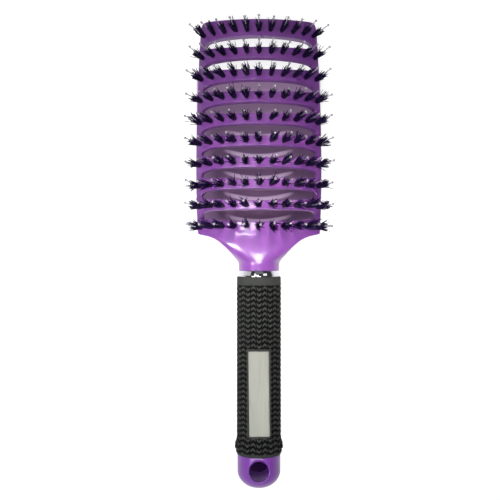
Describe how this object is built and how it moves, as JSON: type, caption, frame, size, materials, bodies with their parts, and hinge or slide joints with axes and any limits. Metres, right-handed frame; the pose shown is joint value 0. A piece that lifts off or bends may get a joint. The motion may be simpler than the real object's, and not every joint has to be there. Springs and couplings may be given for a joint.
{
  "type": "detangling brush",
  "caption": "Vented detangling hair brush with an arched head of slatted ribs, bristle tufts with ball-tipped pins, a ribbed rubber grip and a hang hole.",
  "frame": {"origin": "centre of the hang hole, on the handle's axis", "axes": "+Y up the handle to the tip of the head, +Z out of the bristles along the hang hole, +X to the right seen from the bristle side"},
  "size_m": [0.0792, 0.2499, 0.0457],
  "materials": {
    "purple_plastic": "glossy moulded",
    "bristle": "satin black bristle",
    "nylon": "clear nylon pins with ball tips",
    "anchor_wire": "flat wire",
    "core_plastic": "moulded",
    "chrome": "bright plated",
    "grip_rubber": "matte rubber",
    "label_foil": "satin, bare"
  },
  "bodies": {
    "root": {"head_frame": "purple_plastic", "tuft_anchors": "anchor_wire", "handle_core": "core_plastic", "chrome_ring": "chrome", "grip_sleeve": "grip_rubber", "label_plate": "label_foil", "end_cap": "purple_plastic", "bristle_row_01": "bristle", "bristle_row_02": "bristle", "bristle_row_03": "bristle", "bristle_row_04": "bristle", "bristle_row_05": "bristle", "bristle_row_06": "bristle", "bristle_row_07": "bristle", "bristle_row_08": "bristle", "bristle_row_09": "bristle", "bristle_row_10": "bristle"}
  },
  "joints": []
}
